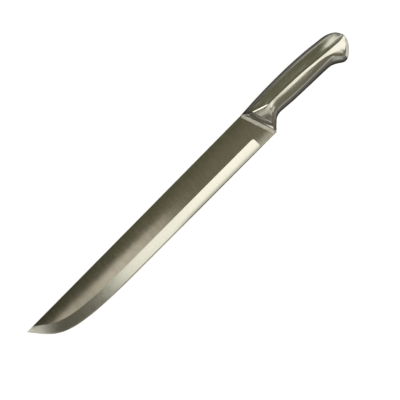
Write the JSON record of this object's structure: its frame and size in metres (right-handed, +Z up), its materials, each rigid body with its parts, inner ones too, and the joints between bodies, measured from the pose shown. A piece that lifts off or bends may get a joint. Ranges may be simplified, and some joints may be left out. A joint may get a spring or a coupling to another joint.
{
  "type": "kitchen knife",
  "caption": "Long all-steel slicing knife with a straight spine, upswept edge, wide ground bevel and a hollow, faceted, hooked handle.",
  "frame": {"origin": "centre of the bottom of the bounding box: the knife lies on its right side with its blade level", "axes": "+X from the tip to the butt, +Y from the edge to the spine, +Z up out of the knife's left side"},
  "size_m": [0.4236, 0.038, 0.0215],
  "materials": {
    "blade_steel": "satin, brushed across the blade",
    "handle_steel": "satin, brushed along the handle",
    "seam_steel": "weld ground flush and brushed along the seam",
    "fillet_steel": "matt, granular ground weld",
    "potting": "cast cement, unseen inside the handle"
  },
  "bodies": {
    "root": {"blade": "blade_steel", "left_handle_shell": "handle_steel", "right_handle_shell": "handle_steel", "spine_seam_weld": "seam_steel", "belly_seam_weld": "seam_steel", "butt_seam_weld": "seam_steel", "left_bolster_weld": "fillet_steel", "right_bolster_weld": "fillet_steel", "tang_potting": "potting"}
  },
  "joints": []
}
